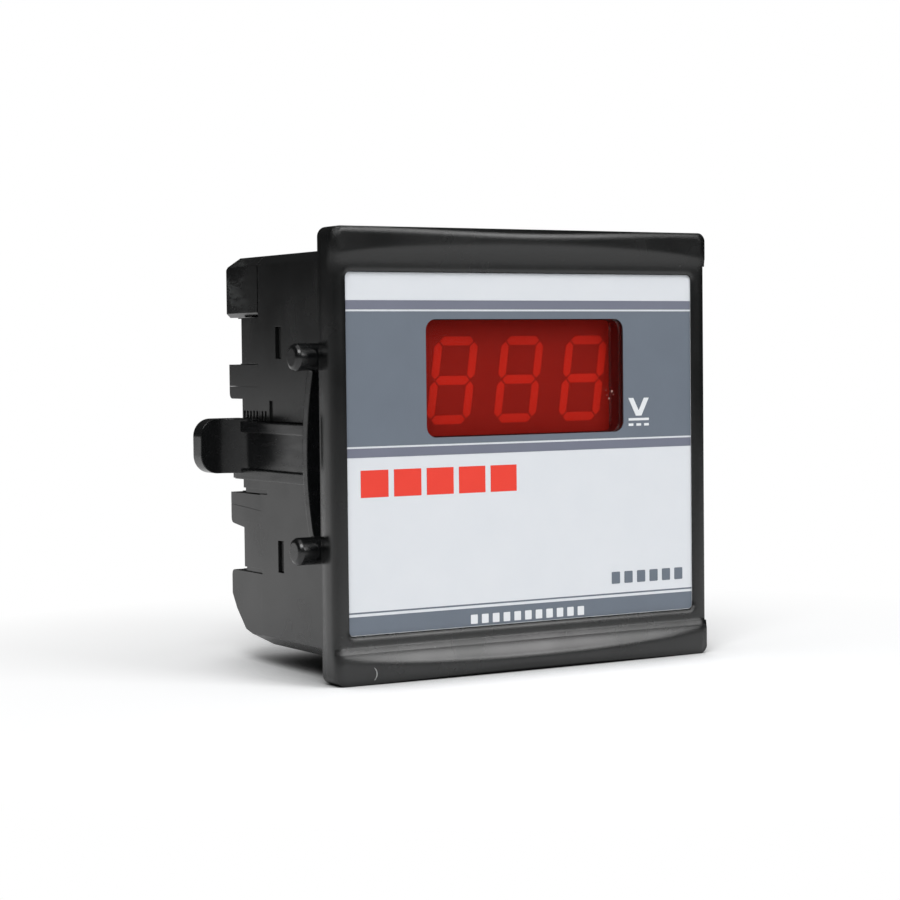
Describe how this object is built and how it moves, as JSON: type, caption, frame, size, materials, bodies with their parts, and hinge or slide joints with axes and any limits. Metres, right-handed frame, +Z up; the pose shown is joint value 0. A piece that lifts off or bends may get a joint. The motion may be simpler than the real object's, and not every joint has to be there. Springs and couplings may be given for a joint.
{
  "type": "digital panel meter",
  "caption": "Square panel-mounted digital meter: red seven-segment display behind a printed label, black case with sliding side clips and screw terminals at the rear.",
  "frame": {"origin": "centre of the panel seat, the plane of the bezel's rear face", "axes": "+X to the right seen from the front, +Y into the panel towards the rear, +Z up; the front faces -Y"},
  "size_m": [0.084, 0.0449, 0.072],
  "materials": {
    "black_moulding": "semi-gloss moulded black plastic with a fine spark-eroded texture",
    "clip_plastic": "moulded black nylon, satin",
    "label_white": "satin white printed plastic sheet",
    "label_grey": "blue-grey ink",
    "label_slate": "slate ink",
    "label_red": "bright red ink",
    "red_acrylic": "clear red acrylic window",
    "display_body": "dark display housing",
    "segment_epoxy": "diffused red epoxy, unlit",
    "tinned_steel": "tinned leads and screws",
    "board_laminate": "green solder mask on glass-fibre laminate",
    "black_part": "black moulding compound",
    "core_steel": "stacked laminations",
    "coil_tape": "yellow winding tape",
    "capacitor_sleeve": "dark blue sleeve",
    "resistor_body": "pale blue lacquer",
    "trimmer_blue": "blue moulded case",
    "brass": "turned brass"
  },
  "bodies": {
    "meter": {"case": "black_moulding", "label_sheet": "label_white", "label_grey_print": "label_grey", "label_slate_print": "label_slate", "label_red_print": "label_red", "display_filter": "red_acrylic", "display_module": "display_body", "display_segments": "segment_epoxy", "display_pins": "tinned_steel", "display_board": "board_laminate", "board_screws": "tinned_steel", "converter_chip": "black_part", "chip_pins": "tinned_steel", "main_board": "board_laminate", "front_header": "black_part", "front_header_pins": "brass", "terminal_board": "board_laminate", "rear_header": "black_part", "rear_header_pins": "brass", "transformer_core": "core_steel", "transformer_coil": "coil_tape", "transformer_pins": "tinned_steel", "filter_capacitor": "capacitor_sleeve", "capacitor_leads": "tinned_steel", "regulator": "black_part", "regulator_legs": "tinned_steel", "rectifier_diodes": "black_part", "diode_leads": "tinned_steel", "resistors": "resistor_body", "resistor_leads": "tinned_steel", "trimmer_body": "trimmer_blue", "rear_cover": "black_moulding", "terminal_bushes": "brass"},
    "clip_left": {"clip_left": "clip_plastic"},
    "clip_right": {"clip_right": "clip_plastic"},
    "trimmer_screw": {"trimmer_screw": "brass"},
    "clamp_1": {"terminal_clamp_1": "tinned_steel"},
    "screw_1": {"terminal_screw_1": "tinned_steel"},
    "clamp_2": {"terminal_clamp_2": "tinned_steel"},
    "screw_2": {"terminal_screw_2": "tinned_steel"},
    "clamp_3": {"terminal_clamp_3": "tinned_steel"},
    "screw_3": {"terminal_screw_3": "tinned_steel"},
    "clamp_4": {"terminal_clamp_4": "tinned_steel"},
    "screw_4": {"terminal_screw_4": "tinned_steel"}
  },
  "joints": [
    {"name": "clip_left_slide", "type": "slide", "parent": "meter", "child": "clip_left", "axis": [0, 1, 0], "range_m": [0, 0.02]},
    {"name": "clip_right_slide", "type": "slide", "parent": "meter", "child": "clip_right", "axis": [0, 1, 0], "range_m": [0, 0.02]},
    {"name": "clamp_1_lift", "type": "slide", "parent": "meter", "child": "clamp_1", "axis": [0, 1, 0], "range_m": [0, 0.0018]},
    {"name": "screw_1_turn", "type": "hinge", "parent": "clamp_1", "child": "screw_1", "pos_m": [-0.0245, 0.0362, 0.01845], "axis": [0, 1, 0], "range_deg": [0, 1080]},
    {"name": "clamp_2_lift", "type": "slide", "parent": "meter", "child": "clamp_2", "axis": [0, 1, 0], "range_m": [0, 0.0018]},
    {"name": "screw_2_turn", "type": "hinge", "parent": "clamp_2", "child": "screw_2", "pos_m": [0.0245, 0.0362, 0.01845], "axis": [0, 1, 0], "range_deg": [0, 1080]},
    {"name": "clamp_3_lift", "type": "slide", "parent": "meter", "child": "clamp_3", "axis": [0, 1, 0], "range_m": [0, 0.0018]},
    {"name": "screw_3_turn", "type": "hinge", "parent": "clamp_3", "child": "screw_3", "pos_m": [-0.0245, 0.0362, -0.0168], "axis": [0, 1, 0], "range_deg": [0, 1080]},
    {"name": "clamp_4_lift", "type": "slide", "parent": "meter", "child": "clamp_4", "axis": [0, 1, 0], "range_m": [0, 0.0018]},
    {"name": "screw_4_turn", "type": "hinge", "parent": "clamp_4", "child": "screw_4", "pos_m": [0.0245, 0.0362, -0.0168], "axis": [0, 1, 0], "range_deg": [0, 1080]},
    {"name": "trimmer_turn", "type": "hinge", "parent": "meter", "child": "trimmer_screw", "pos_m": [0.009, 0.0216, -0.0128], "axis": [0, 0, 1], "continuous": true}
  ],
  "couplings": [
    {"joint": "screw_1_turn", "follows": "clamp_1_lift", "rad_per_m": 10472},
    {"joint": "screw_2_turn", "follows": "clamp_2_lift", "rad_per_m": 10472},
    {"joint": "screw_3_turn", "follows": "clamp_3_lift", "rad_per_m": 10472},
    {"joint": "screw_4_turn", "follows": "clamp_4_lift", "rad_per_m": 10472}
  ]
}
